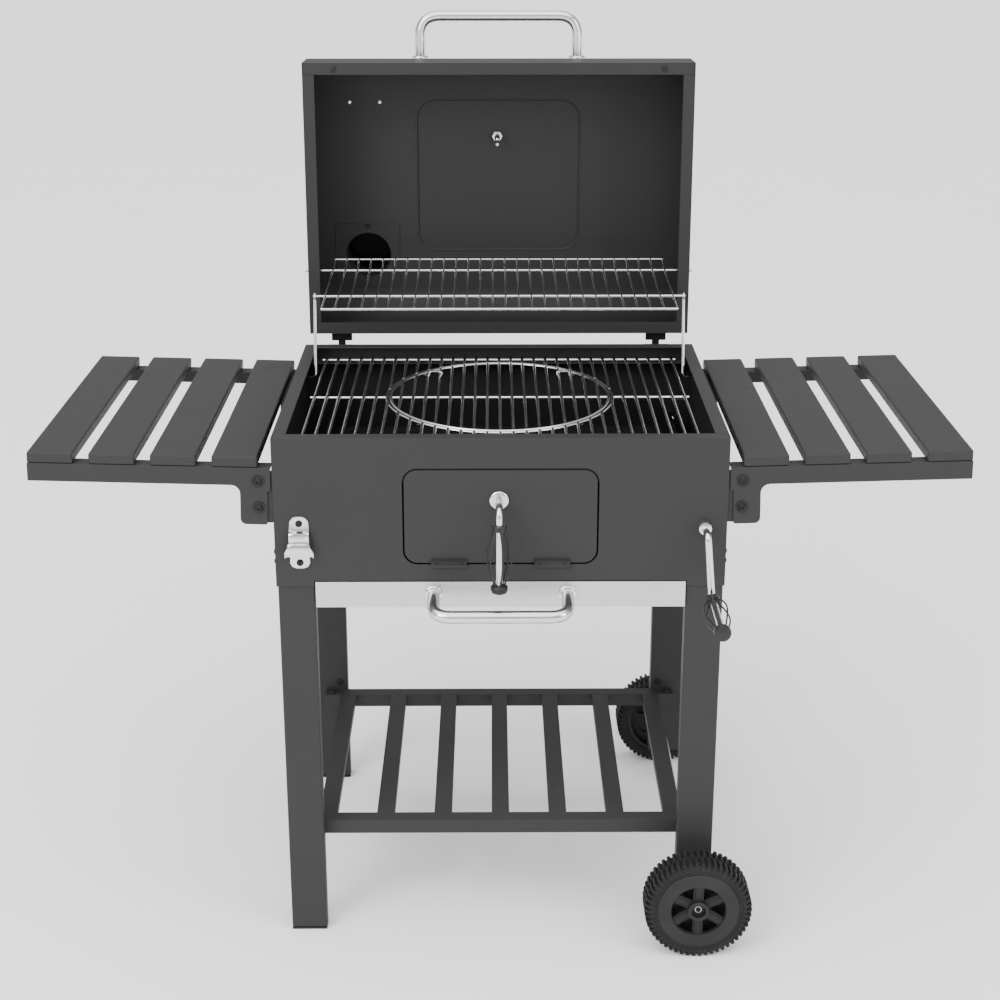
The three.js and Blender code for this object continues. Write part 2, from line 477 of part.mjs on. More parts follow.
// The cap's pin turns in an ear on the flue.
add('chimney_pipe', onTop(cut(join(
  turned([[CHIMNEY.foot, GAP], [CHIMNEY.foot, 2], [CHIMNEY.r, 2], [CHIMNEY.r, CHIMNEY.high], [CHIMNEY.r - SHEET, CHIMNEY.high],
    [CHIMNEY.r - SHEET, GAP]], 32),
  upright(7, CHIMNEY.high - 10, CHIMNEY.high, 16).translate(0, CHIMNEY.ear, 0),
), upright(3.4, CHIMNEY.high - 20, CHIMNEY.high + 5, 12).translate(0, CHIMNEY.ear, 0)), CHIMNEY.x, CHIMNEY.y), POWDER, lid);
add('chimney_cap', onTop(join(
  upright(CHIMNEY.cap, CHIMNEY.high + GAP, CHIMNEY.high + 2, 32),
  upright(7, CHIMNEY.high + GAP, CHIMNEY.high + 2, 16).translate(0, CHIMNEY.ear, 0),
  upright(3, CHIMNEY.high - 8, CHIMNEY.high + 1, 12).translate(0, CHIMNEY.ear, 0),
), CHIMNEY.x, CHIMNEY.y), POWDER, lid);

// ---- hinges: two knuckles and a pin on the firebox, one knuckle on the lid ----
const knuckle = (HINGE.out - HINGE.in) / 3;
for (const [side, sx] of SIDES) {
  const backY = BOX.halfY + GAP;
  const outerKnuckles = [HINGE.in, HINGE.out - knuckle].flatMap((x) => [
    rod(HINGE.r, [sx * x, HINGE.y, HINGE.z], [sx * (x + knuckle), HINGE.y, HINGE.z], 16),
    sideBox(sx, 1, x, x + knuckle, backY, HINGE.y, HINGE.z - HINGE.r, HINGE.z - HINGE.r + 2),
  ]);
  add(`hinge_leaf_${side}`, join(
    sideBox(sx, 1, HINGE.in, HINGE.out, backY, backY + 2, HINGE.z - 40, HINGE.z - 3), ...outerKnuckles,
    rod(HINGE.pin, [sx * HINGE.in, HINGE.y, HINGE.z], [sx * HINGE.out, HINGE.y, HINGE.z], 12),
  ), BLACK);
  const inner = HINGE.in + knuckle + GAP;
  const outer = HINGE.out - knuckle - GAP;
  add(`lid_hinge_${side}`, cut(join(
    rod(HINGE.r, [sx * inner, 0, 0], [sx * outer, 0, 0], 16),
    sideBox(sx, 1, inner, outer, 3, 5, 0, 22),
    sideBox(sx, 1, inner, outer, LID.rear + GAP, 5, 20, 22),
    sideBox(sx, 1, HINGE.in, HINGE.out, LID.rear + GAP, LID.rear + GAP + 2, 20, 50),
  ), rod(HINGE.pin + GAP, [sx * 220, 0, 0], [sx * 280, 0, 0], 12)), BLACK, lid);
}

// ---- warming rack: its rod turns in the lid's cheeks, its struts stand on the firebox walls ----
const rackZ = (y) => RACK.z + (y - RACK.y) * RACK.slope;
const acrossRack = (r, y, z, halfX) => rod(r, [-halfX, y, z], [halfX, y, z], 10);
const barOutline = new THREE.Shape(vectors([
  [RACK.front, rackZ(RACK.front) - 0.5], [RACK.y, RACK.z - 0.5], [RACK.lipY, RACK.lipZ - 0.5],
  [RACK.lipY, RACK.lipZ + 2.5], [RACK.y, RACK.z + 2.5], [RACK.front, rackZ(RACK.front) + 2.5]]));
const linkZ = rackZ(RACK.linkY);
add('warming_rack', join(
  acrossRack(RACK.rod, RACK.y, RACK.z, 302),
  acrossRack(RACK.rod, RACK.linkY, linkZ, RACK.strutX + 2.8),
  acrossRack(RACK.rod, RACK.front, rackZ(RACK.front), RACK.halfX + RACK.wire),
  acrossRack(2, RACK.lipY, RACK.lipZ, RACK.halfX + RACK.wire),
  ...Array.from({ length: RACK.bars }, (_, i) => {
    const x = -RACK.halfX + (i * RACK.halfX * 2) / (RACK.bars - 1);
    return acrossX(barOutline, x - RACK.wire, x + RACK.wire);
  }),
), CHROME);

const strutDown = new THREE.Vector2(RACK.footY - RACK.linkY, RACK.footZ - linkZ).setLength(4.6);
for (const [side, sx] of SIDES) {
  const eye = turned([[5.8, -2], [5.8, 2], [3.2, 2], [3.2, -2]], 16).rotateY(Math.PI / 2);
  add(`rack_strut_${side}`, join(
    eye.translate(sx * RACK.strutX, RACK.linkY, linkZ),
    bentRod([[sx * RACK.strutX, RACK.linkY + strutDown.x, linkZ + strutDown.y], [sx * RACK.strutX, RACK.footY, RACK.footZ],
      [sx * (BOX.halfX + 3), RACK.footY, RACK.footZ]], RACK.rod - 0.2, 7, 10),
  ), CHROME);
}

const bounds = new THREE.Box3().setFromObject(grill, true);
const centre = bounds.getCenter(new THREE.Vector3());
grill.position.set(-centre.x, -centre.y, -bounds.min.z);

export default grill;
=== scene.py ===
"""Charcoal grill cart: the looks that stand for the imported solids. Metres; +Z up; the front faces -Y."""
import json
import math

import bmesh
import bpy
from mathutils import Matrix, Vector


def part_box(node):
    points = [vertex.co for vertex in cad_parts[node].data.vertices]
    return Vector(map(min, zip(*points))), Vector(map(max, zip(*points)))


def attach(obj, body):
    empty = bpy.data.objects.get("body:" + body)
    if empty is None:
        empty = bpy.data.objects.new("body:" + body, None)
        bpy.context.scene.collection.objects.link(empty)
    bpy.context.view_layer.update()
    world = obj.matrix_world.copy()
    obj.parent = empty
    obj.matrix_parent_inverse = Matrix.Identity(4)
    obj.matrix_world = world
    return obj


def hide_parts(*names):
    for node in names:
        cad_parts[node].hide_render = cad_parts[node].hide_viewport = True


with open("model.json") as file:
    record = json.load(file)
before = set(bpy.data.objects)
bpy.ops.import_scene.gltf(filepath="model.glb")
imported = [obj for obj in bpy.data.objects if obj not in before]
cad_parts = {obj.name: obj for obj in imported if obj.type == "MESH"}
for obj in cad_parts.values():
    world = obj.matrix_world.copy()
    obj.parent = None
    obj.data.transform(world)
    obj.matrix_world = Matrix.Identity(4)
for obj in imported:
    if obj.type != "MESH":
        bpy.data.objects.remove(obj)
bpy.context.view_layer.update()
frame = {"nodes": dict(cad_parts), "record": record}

scene = bpy.context.scene

# ---- driving dimensions ----
MM = 0.001
SIDES = (("left", -1), ("right", 1))
ENDS = (("front", -1), ("rear", 1))
# These two are in metres.
FIREBOX_HALF_DEPTH = 0.220
MIDDLE_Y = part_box("front_panel")[0][1] + FIREBOX_HALF_DEPTH
# Lengths from here on are in millimetres, places from the middle of the firebox on the floor.
GAP = 0.3
PANEL_FACE = -220.3
STRIP_FACE = -221.3
HINGE = Vector((0, 235.5, 740.5))
# The lid's own sizes are measured from the hinge pin with the lid closed.
LID_OPEN = math.radians(91.2)
LID_FRONT, LID_DEPTH, LID_RIM = -440.5, 421, 10.5
LID_FRONT_HEIGHT, LID_BACK_HEIGHT = 115, 130
LID_TOP_SLOPE = math.atan2(LID_BACK_HEIGHT - LID_FRONT_HEIGHT, LID_DEPTH)
LID_HANDLE_X, LID_HANDLE_Z, LID_HANDLE_OUT = 121.5, LID_RIM + 83, 63
DIAL_AT = (-2, -314)
CHIMNEY_X = -211.6
# Places are again from the middle of the firebox on the floor.
WHEEL_X, WHEEL_Y, WHEEL_Z = 275, 264.5, 75
LUGS = 54
GRATE_BARS, GRATE_HALF_X, GRATE_HALF_Y = 31, 266, 199
GRATE_RING_Y, GRATE_RING, INSERT_RING = 4.5, 162, 156.4
GRATE_BAR_Z, GRATE_CROSS_X, GRATE_CROSS_Z = 735.6, 273, 731.2
RACK_BARS, RACK_HALF_X = 28, 259.2
RACK_Y, RACK_Z, RACK_FRONT, RACK_SLOPE = 262, 858, 71, 0.0615
RACK_LINK_Y, RACK_LIP_Y, RACK_LIP_Z = 132, 295, 868
STRUT_X, STRUT_FOOT_Y, STRUT_FOOT_Z, STRUT_EYE = 275, 105.5, 732.5, 4.6
PULL_X, PULL_Z, PULL_OUT, PULL_DROP = 90, 528, 52, 9
STUD_X, STUD_Z, STUD_OUT = -2, 663, 40
CRANK_X, CRANK_Z, CRANK_OUT = 271, 626.6, -258
CRANK_GRIP_X, CRANK_GRIP_Z = 279, 541
HANDLE_ROD = 4.7
TABLE_X, TABLE_Z, TABLE_TILT = 303, 709, math.radians(1.5)
SLAT_FIRST, SLAT_PITCH, SLATS = 47, 80.6, 4


def at(x, y, z):
    """A point given in millimetres from the middle of the firebox on the floor."""
    return Vector((x * MM, y * MM + MIDDLE_Y, z * MM))


def in_lid(x, y, z):
    """A point given in millimetres from the hinge pin with the lid closed, where it is with the lid open."""
    return at(*(HINGE + Matrix.Rotation(-LID_OPEN, 3, "X") @ Vector((x, y, z))))


def lid_way(y, z):
    """A direction in the closed lid, as it points with the lid open."""
    return Matrix.Rotation(-LID_OPEN, 3, "X") @ Vector((0, y, z))


def on_lid_top(x, y, out):
    """A point that stands out millimetres above the closed lid's sloping top."""
    up = LID_RIM + LID_FRONT_HEIGHT + (y - LID_FRONT) * math.tan(LID_TOP_SLOPE)
    return in_lid(x, y - out * math.sin(LID_TOP_SLOPE), up + out * math.cos(LID_TOP_SLOPE))


def turns(count, offset=0.0):
    """Angles evenly round a full turn, moved on by a share of one step."""
    return [2 * math.pi * (k + offset) / count for k in range(count)]


LID_TOP_WAY = lid_way(-math.sin(LID_TOP_SLOPE), math.cos(LID_TOP_SLOPE))

# ---- camera ----
lens_data = bpy.data.cameras.new("camera")
lens_data.lens = 59.64
lens_data.sensor_width = 36
lens_data.shift_y = -0.13
camera = bpy.data.objects.new("camera", lens_data)
scene.collection.objects.link(camera)
camera.location = (-0.0121, -2.3214, 1.4733)
camera.rotation_euler = (math.pi / 2 - 0.299, 0, -0.0055)
scene.camera = camera


# ---- finishes ----
class Value:
    """A shader socket that takes part in Python arithmetic."""

    def __init__(self, finish, socket):
        self.finish = finish
        self.socket = socket

    def _math(self, operation, *terms):
        node = self.finish.node("ShaderNodeMath", {"operation": operation}, dict(enumerate(terms)))
        return self.finish.out(node, 0)

    def __add__(self, other):
        return self._math("ADD", self, other)

    def __radd__(self, other):
        return self._math("ADD", other, self)

    def __sub__(self, other):
        return self._math("SUBTRACT", self, other)

    def __rsub__(self, other):
        return self._math("SUBTRACT", other, self)

    def __mul__(self, other):
        return self._math("MULTIPLY", self, other)

    def __rmul__(self, other):
        return self._math("MULTIPLY", other, self)

    def between(self, low, high):
        """0 below low, 1 above high, smooth in between."""
        node = self.finish.node(
            "ShaderNodeMapRange",
            {"interpolation_type": "SMOOTHSTEP"},
            {"Value": self, "From Min": low, "From Max": high},
        )
        return self.finish.out(node, 0)


class Finish:
    """A material under construction."""

    def __init__(self, name):
        self.material = bpy.data.materials.new(name)
        self.material.use_nodes = True
        self.tree = self.material.node_tree
        self.tree.nodes.clear()
        self.place = self.out(self.node("ShaderNodeTexCoord"), "Object")

    def node(self, kind, settings=None, inputs=None):
        node = self.tree.nodes.new(kind)
        for key, value in (settings or {}).items():
            setattr(node, key, value)
        for key, value in (inputs or {}).items():
            if isinstance(value, Value):
                self.tree.links.new(value.socket, node.inputs[key])
            else:
                node.inputs[key].default_value = value
        return node

    def out(self, node, key):
        return Value(self, node.outputs[key])

    def noise(self, scale, detail, stretch=(1, 1, 1)):
        spot = self.node("ShaderNodeMapping", {}, {"Vector": self.place, "Scale": stretch})
        node = self.node(
            "ShaderNodeTexNoise",
            {},
            {"Vector": self.out(spot, 0), "Scale": scale, "Detail": detail, "Roughness": 0.55},
        )
        return self.out(node, "Fac")

    def blend(self, amount, first, second):
        node = self.node("ShaderNodeMix", {"data_type": "RGBA"}, {0: amount, 6: (*first, 1), 7: (*second, 1)})
        return self.out(node, 2)

    def bump(self, height, strength, distance):
        node = self.node("ShaderNodeBump", {}, {"Height": height, "Strength": strength, "Distance": distance})
        return self.out(node, 0)

    def done(self, inputs):
        shader = self.node("ShaderNodeBsdfPrincipled", {}, inputs)
        self.node("ShaderNodeOutputMaterial", {}, {"Surface": self.out(shader, 0)})
        return self.material


def powder_coat(name, shade, roughness, gloss):
    """Sprayed and baked coat: a fine grain of flattened beads, and a slow drift in tone."""
    f = Finish(name)
    drift = f.noise(7, 2)
    grain = f.noise(1500, 2)
    beads = f.noise(520, 3)
    dust = f.noise(38, 5).between(0.52, 0.8)
    dark = [c * 0.9 for c in shade]
    light = [c * 1.12 for c in shade]
    return f.done({
        "Base Color": f.blend(0.55 * drift + 0.35 * grain + 0.12 * dust, dark, light),
        "Roughness": roughness + 0.12 * beads + 0.06 * dust,
        "Specular IOR Level": gloss,
        "Normal": f.bump(0.6 * grain + 0.5 * beads, 0.22, 0.0006),
    })


def bright_metal(name, shade, roughness, streaks, brush=(1, 1, 1)):
    """Plated or brushed metal; streaks sets how strongly the lines of the polish show."""
    f = Finish(name)
    lines = f.noise(420, 4, brush)
    smudge = f.noise(24, 4).between(0.4, 0.8)
    dark = [c * (1 - 0.25 * streaks) for c in shade]
    return f.done({
        "Base Color": f.blend(lines, dark, shade),
        "Metallic": 1.0,
        "Roughness": roughness + 0.16 * streaks * lines + 0.05 * smudge,
        "Normal": f.bump(lines, 0.1 + 0.15 * streaks, 0.0002),
    })


def moulded(name, shade, roughness, grain_scale):
    """Moulded plastic or rubber with a spark-eroded skin."""
    f = Finish(name)
    skin = f.noise(grain_scale, 3)
    bloom = f.noise(30, 4).between(0.35, 0.75)
    return f.done({
        "Base Color": f.blend(0.5 * bloom + 0.3 * skin, shade, [c * 1.7 + 0.004 for c in shade]),
        "Roughness": roughness + 0.15 * skin - 0.05 * bloom,
        "Specular IOR Level": 0.28,
        "Normal": f.bump(skin, 0.35, 0.0005),
    })


COAT = powder_coat("charcoal_powder_coat", (0.027, 0.0273, 0.0279), 0.48, 0.2)
COAT_DARK = powder_coat("heatproof_black_coat", (0.010, 0.010, 0.010), 0.55, 0.14)
CHROME = bright_metal("chrome_plate", (0.80, 0.80, 0.79), 0.10, 0.15)
TUBE = bright_metal("polished_stainless_tube", (0.74, 0.73, 0.72), 0.17, 0.35)
BRUSHED = bright_metal("brushed_stainless_sheet", (0.66, 0.66, 0.65), 0.28, 0.9, (0.02, 1, 1))
ZINC = bright_metal("zinc_plated_sheet", (0.55, 0.56, 0.57), 0.34, 0.4)
GRATE_WIRE = bright_metal("plated_grate_wire", (0.62, 0.62, 0.61), 0.18, 0.3)
BLACK_WIRE = moulded("black_lacquered_wire", (0.012, 0.012, 0.012), 0.32, 1400)
PLASTIC = moulded("black_moulded_plastic", (0.008, 0.008, 0.0083), 0.42, 900)
RUBBER = moulded("tyre_compound", (0.007, 0.007, 0.007), 0.62, 1300)
DIAL = moulded("dial_enamel", (0.62, 0.62, 0.60), 0.30, 700)
NEEDLE = moulded("needle_lacquer", (0.30, 0.02, 0.015), 0.35, 900)


# ---- node trees that make what repeats or follows a path ----
class Tree:
    def __init__(self, name, sizes):
        self.group = bpy.data.node_groups.new(name, "GeometryNodeTree")
        sockets = self.group.interface
        sockets.new_socket("Geometry", in_out="INPUT", socket_type="NodeSocketGeometry")
        for label, start in sizes.items():
            kind = "NodeSocketInt" if isinstance(start, int) else "NodeSocketFloat"
            sockets.new_socket(label, in_out="INPUT", socket_type=kind).default_value = start
        sockets.new_socket("Material", in_out="INPUT", socket_type="NodeSocketMaterial")
        sockets.new_socket("Geometry", in_out="OUTPUT", socket_type="NodeSocketGeometry")
        self.given = self.group.nodes.new("NodeGroupInput").outputs

    def node(self, kind, settings=None, inputs=None):
        node = self.group.nodes.new(kind)
        for key, value in (settings or {}).items():
            setattr(node, key, value)
        for key, value in (inputs or {}).items():
            if isinstance(value, bpy.types.NodeSocket):
                self.group.links.new(value, node.inputs[key])
            else:
                node.inputs[key].default_value = value
        return node

    def number(self, operation, first, second):
        return self.node("ShaderNodeMath", {"operation": operation}, {0: first, 1: second}).outputs[0]

    def vector(self, x=0.0, y=0.0, z=0.0):
        return self.node("ShaderNodeCombineXYZ", {}, {"X": x, "Y": y, "Z": z}).outputs[0]

    def moved(self, geometry, offset):
        return self.node("GeometryNodeTransform", {}, {"Geometry": geometry, "Translation": offset}).outputs[0]

    def facing(self, instance):
        """The instance on every given point, its Z turned to the way that the point faces."""
        way = self.node("GeometryNodeInputNamedAttribute", {"data_type": "FLOAT_VECTOR"}, {"Name": "facing"})
        turn = self.node("FunctionNodeAlignRotationToVector", {"axis": "Z", "pivot_axis": "AUTO"},
                         {"Vector": way.outputs[0]})
        return self.node("GeometryNodeInstanceOnPoints", {}, {
            "Points": self.given["Geometry"], "Instance": instance, "Rotation": turn.outputs[0]}).outputs[0]

    def finish(self, geometry):
        plain = self.node("GeometryNodeRealizeInstances", {}, {"Geometry": geometry})
        coated = self.node("GeometryNodeSetMaterial", {}, {
            "Geometry": plain.outputs[0], "Material": self.given["Material"]})
        self.node("NodeGroupOutput", {}, {"Geometry": coated.outputs[0]})
        return self.group


def wire_tree():
    t = Tree("wire_along_edges", {"Radius": 0.002, "Sides": 10})
    path = t.node("GeometryNodeMeshToCurve", {}, {"Mesh": t.given["Geometry"]}).outputs[0]
    section = t.node("GeometryNodeCurvePrimitiveCircle", {}, {
        "Resolution": t.given["Sides"], "Radius": t.given["Radius"]}).outputs[0]
    return t.finish(t.node("GeometryNodeCurveToMesh", {}, {
        "Curve": path, "Profile Curve": section, "Fill Caps": True}).outputs[0])


def screw_tree():
    """Button heads with a hexagon socket, each on a washer."""
    t = Tree("socket_screws", {"Radius": 0.005, "Height": 0.003, "Washer": 1.4})
    radius, height = t.given["Radius"], t.given["Height"]
    head = t.node("GeometryNodeMeshCone", {}, {
        "Vertices": 24, "Radius Top": t.number("MULTIPLY", radius, 0.62), "Radius Bottom": radius,
        "Depth": height, "Side Segments": 1}).outputs[0]
    socket = t.node("GeometryNodeMeshCylinder", {}, {
        "Vertices": 6, "Radius": t.number("MULTIPLY", radius, 0.42), "Depth": height}).outputs[0]
    socket = t.moved(socket, t.vector(z=t.number("MULTIPLY", height, 1.05)))
    drilled = t.node("GeometryNodeMeshBoolean", {"operation": "DIFFERENCE"}, {"Mesh 1": head})
    t.group.links.new(socket, drilled.inputs["Mesh 2"])
    washer = t.node("GeometryNodeMeshCylinder", {}, {
        "Vertices": 28, "Radius": t.number("MULTIPLY", radius, t.given["Washer"]),
        "Depth": t.number("MULTIPLY", height, 0.3)}).outputs[0]
    washer = t.moved(washer, t.vector(z=t.number("MULTIPLY", height, 0.15)))
    both = t.node("GeometryNodeJoinGeometry")
    t.group.links.new(washer, both.inputs[0])
    head_on_washer = t.moved(drilled.outputs[0], t.vector(z=t.number("MULTIPLY", height, 0.2)))
    t.group.links.new(head_on_washer, both.inputs[0])
    return t.finish(t.facing(both.outputs[0]))


def lug_tree():
    """Tapered tread blocks with their foot on the point; Long lies along the wheel's axle."""
    t = Tree("tread_lugs", {"Wide": 0.004, "Long": 0.02, "High": 0.006})
    block = t.node("GeometryNodeMeshCone", {}, {
        "Vertices": 4, "Radius Top": 0.6, "Radius Bottom": 0.72, "Depth": 1.0}).outputs[0]
    block = t.node("GeometryNodeTransform", {}, {
        "Geometry": block, "Rotation": (0, 0, math.pi / 4)}).outputs[0]
    block = t.node("GeometryNodeTransform", {}, {
        "Geometry": block, "Scale": t.vector(t.given["Wide"], t.given["Long"], t.given["High"])}).outputs[0]
    return t.finish(t.facing(block))


WIRE_TREE = wire_tree()
SCREW_TREE = screw_tree()
LUG_TREE = lug_tree()


def run_tree(tree, base, finish, **sizes):
    """What the tree makes from the base mesh, as a plain mesh."""
    holder = bpy.data.objects.new("holder", base)
    scene.collection.objects.link(holder)
    modifier = holder.modifiers.new("make", "NODES")
    modifier.node_group = tree
    for item in tree.interface.items_tree:
        if item.in_out == "INPUT" and item.name in sizes:
            modifier[item.identifier] = sizes[item.name]
        if item.in_out == "INPUT" and item.name == "Material":
            modifier[item.identifier] = finish
    bpy.context.view_layer.update()
    made = bpy.data.meshes.new_from_object(holder.evaluated_get(bpy.context.evaluated_depsgraph_get()))
    holder.modifiers.remove(modifier)
    bpy.data.objects.remove(holder)
    return made


# ---- making and placing pieces ----
def shaded(mesh, finish):
    """The mesh in one finish, smooth but for its sharp edges."""
    mesh.materials.clear()
    mesh.materials.append(finish)
    for polygon in mesh.polygons:
        polygon.use_smooth = True
        polygon.material_index = 0
    mesh.set_sharp_from_angle(angle=math.radians(38))
    return mesh


def place(name, body, meshes, finish, stands_for=()):
    """Joins the meshes into one piece that rides on the body and stands for the named CAD nodes."""
    bm = bmesh.new()
    for mesh in meshes:
        bm.from_mesh(mesh)
    whole = bpy.data.meshes.new(name)
    bm.to_mesh(whole)
    bm.free()
    put(name, body, shaded(whole, finish), stands_for)


def put(name, body, mesh, stands_for=()):
    """The finished mesh as a piece that rides on the body and stands for the named CAD nodes."""
    piece = bpy.data.objects.new(name, mesh)
    scene.collection.objects.link(piece)
    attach(piece, body)
    if stands_for:
        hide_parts(*stands_for)


def wires(paths, radius, finish, sides=10, closed=False):
    """Round wire or tube along each path of points."""
    bm = bmesh.new()
    for path in paths:
        row = [bm.verts.new(p) for p in path]
        for a, b in zip(row, row[1:]):
            bm.edges.new((a, b))
        if closed:
            bm.edges.new((row[-1], row[0]))
    base = bpy.data.meshes.new("path")
    bm.to_mesh(base)
    bm.free()
    return run_tree(WIRE_TREE, base, finish, Radius=radius * MM, Sides=sides)


def pointed(spots):
    """A mesh of loose points, each with the way it faces."""
    base = bpy.data.meshes.new("spots")
    base.from_pydata([s[0] for s in spots], [], [])
    facing = base.attributes.new("facing", "FLOAT_VECTOR", "POINT")
    for item, (_, way) in zip(facing.data, spots):
        item.vector = Vector(way).normalized()
    return base


def screws(spots, radius, finish, washer, height):
    """A screw at each spot; height is a share of the head's radius."""
    return run_tree(SCREW_TREE, pointed(spots), finish,
                    Radius=radius * MM, Height=radius * height * MM, Washer=washer)


def eased(points, bend, steps):
    """The path through the points with each corner eased from bend millimetres before it to as far after."""
    points = [Vector(p) for p in points]
    line = [points[0]]
    for before, corner, after in zip(points, points[1:], points[2:]):
        start = corner + (before - corner).normalized() * bend * MM
        end = corner + (after - corner).normalized() * bend * MM
        for k in range(steps + 1):
            t = k / steps
            line.append(start * (1 - t) ** 2 + corner * 2 * t * (1 - t) + end * t**2)
    return [*line, points[-1]]


def turned(profile, base, way, sides=40):
    """A solid of revolution round way from base, through radius and height pairs in millimetres."""
    turn = Vector((0, 0, 1)).rotation_difference(Vector(way))
    bm = bmesh.new()
    rings = []
    for radius, height in profile:
        if radius == 0:
            rings.append([bm.verts.new((0, 0, height * MM))])
            continue
        rings.append([bm.verts.new((radius * MM * math.cos(a), radius * MM * math.sin(a), height * MM))
                      for a in turns(sides)])
    loop = rings if len(rings[0]) == 1 else [*rings, rings[0]]
    for lower, upper in zip(loop, loop[1:]):
        for k in range(sides):
            n = (k + 1) % sides
            corners = [lower[k % len(lower)], lower[n % len(lower)],
                       upper[n % len(upper)], upper[k % len(upper)]]
            bm.faces.new(list(dict.fromkeys(corners)))
    bmesh.ops.recalc_face_normals(bm, faces=bm.faces)
    bmesh.ops.transform(bm, matrix=Matrix.Translation(base) @ turn.to_matrix().to_4x4(), verts=bm.verts)
    mesh = bpy.data.meshes.new("turned")
    bm.to_mesh(mesh)
    bm.free()
    return mesh


def eased_edges(node, width, finish, segments):
    """A copy of a CAD node's mesh with its sharp edges rounded as folded or moulded edges are."""
    bm = bmesh.new()
    bm.from_mesh(frame["nodes"][node].data)
    bmesh.ops.remove_doubles(bm, verts=bm.verts, dist=1e-6)
    bmesh.ops.dissolve_limit(bm, angle_limit=math.radians(1.0), verts=bm.verts, edges=bm.edges)
    mesh = bpy.data.meshes.new(node)
    bm.to_mesh(mesh)
    bm.free()
    folded = through_modifier(mesh, "BEVEL", {
        "width": width * MM, "segments": segments, "limit_method": "ANGLE", "angle_limit": math.radians(40)})
    return through_modifier(shaded(folded, finish), "WEIGHTED_NORMAL", {"keep_sharp": True})


def through_modifier(mesh, kind, settings):
    """What the modifier makes of the mesh, as a plain mesh."""
    holder = bpy.data.objects.new("holder", mesh)
    scene.collection.objects.link(holder)
    modifier = holder.modifiers.new("shape", kind)
    for key, value in settings.items():
        setattr(modifier, key, value)
    bpy.context.view_layer.update()
    made = bpy.data.meshes.new_from_object(holder.evaluated_get(bpy.context.evaluated_depsgraph_get()))
    bpy.data.objects.remove(holder)
    return made


def refined(nodes, width, finish, segments=2):
    """Stands a copy with eased edges in for each CAD node."""
    bodies = frame["record"]["behaviour"]["bodies"]
    for node in nodes:
        body = next(name for name, members in bodies.items() if node in members)
        put(f"{node}_formed", body, eased_edges(node, width, finish, segments), [node])


def plate(corners, bevel):
    """A flat plate through its eight corners, its edges eased."""
    bm = bmesh.new()
    bmesh.ops.convex_hull(bm, input=[bm.verts.new(c) for c in corners])
    bmesh.ops.dissolve_limit(bm, angle_limit=math.radians(1), verts=bm.verts, edges=bm.edges)
    mesh = bpy.data.meshes.new("plate")
    bm.to_mesh(mesh)
    bm.free()
    return through_modifier(mesh, "BEVEL", {"width": bevel * MM, "segments": 2})


# ---- sheet metal, legs and slats ----
for side, _ in SIDES:
    refined([f"leg_{end}_{side}" for end, _ in ENDS], 2.5, COAT, segments=3)
    refined([f"table_slat_{side}_{i + 1}" for i in range(SLATS)], 2.4, COAT, segments=3)
    refined([f"table_arm_{end}_{side}" for end, _ in ENDS], 0.7, COAT)
refined(["bottom_shelf"], 1.2, COAT)
refined(["front_panel", "rear_panel", "left_panel", "right_panel", "firebox_floor"], 0.35, COAT)
refined(["front_door"], 0.45, COAT)
refined(["lid_shell", "lid_cheek_left", "lid_cheek_right", "chimney_pipe", "chimney_cap"],
        0.4, COAT)
refined(["vent_shutter_left", "vent_shutter_right", "drawer_runner_left", "drawer_runner_right", "wheel_axle"],
        0.35, ZINC)
refined(["drawer_pan", "drawer_front"], 0.4, BRUSHED)
refined(["foot_cap_front", "foot_cap_rear"], 0.8, PLASTIC)
refined(["hub_front", "hub_rear"], 0.9, PLASTIC)
refined(["hinge_leaf_left", "hinge_leaf_right", "lid_hinge_left", "lid_hinge_right"],
        0.4, COAT_DARK)
refined(["charcoal_tray"], 0.5, COAT_DARK)


# ---- wheels ----
def wheel_way(angle):
    """The way out from the axle at an angle round the wheel."""
    return Vector((math.cos(angle), 0, math.sin(angle)))


def tyre(end, sy, hub):
    """A tyre with two staggered rows of tread lugs, ribs down its sides and two fine bands outside."""
    body = turned([(58, -20), (66, -20.4), (70.5, -18), (71.5, -14), (71.5, 14), (70.5, 18), (66, 20.4),
                   (58, 20), (58, 14), (58, -14)], hub, (0, 1, 0), 72)
    tread, sides = [], []
    for row, offset in ((-1, 0.0), (1, 0.5)):
        for a in turns(LUGS, offset):
            way = wheel_way(a)
            tread.append((hub + way * 70.6 * MM + Vector((0, row * 9.8 * MM, 0)), way))
            sides.append((hub + way * 62.4 * MM + Vector((0, row * 19.6 * MM, 0)), way))
    lugs = run_tree(LUG_TREE, pointed(tread), RUBBER, Wide=4.6 * MM, Long=19.6 * MM, High=4.2 * MM)
    side_ribs = run_tree(LUG_TREE, pointed(sides), RUBBER, Wide=3.6 * MM, Long=2.2 * MM, High=9.4 * MM)
    bands = [[hub + Vector((r * math.cos(a), sy * 20.2, r * math.sin(a))) * MM for a in turns(72)]
             for r in (61.5, 65.5)]
    place(f"tyre_{end}_treaded", f"wheel_{end}",
          [body, lugs, side_ribs, wires(bands, 0.7, RUBBER, 8, closed=True)],
          RUBBER, [f"tyre_{end}"])


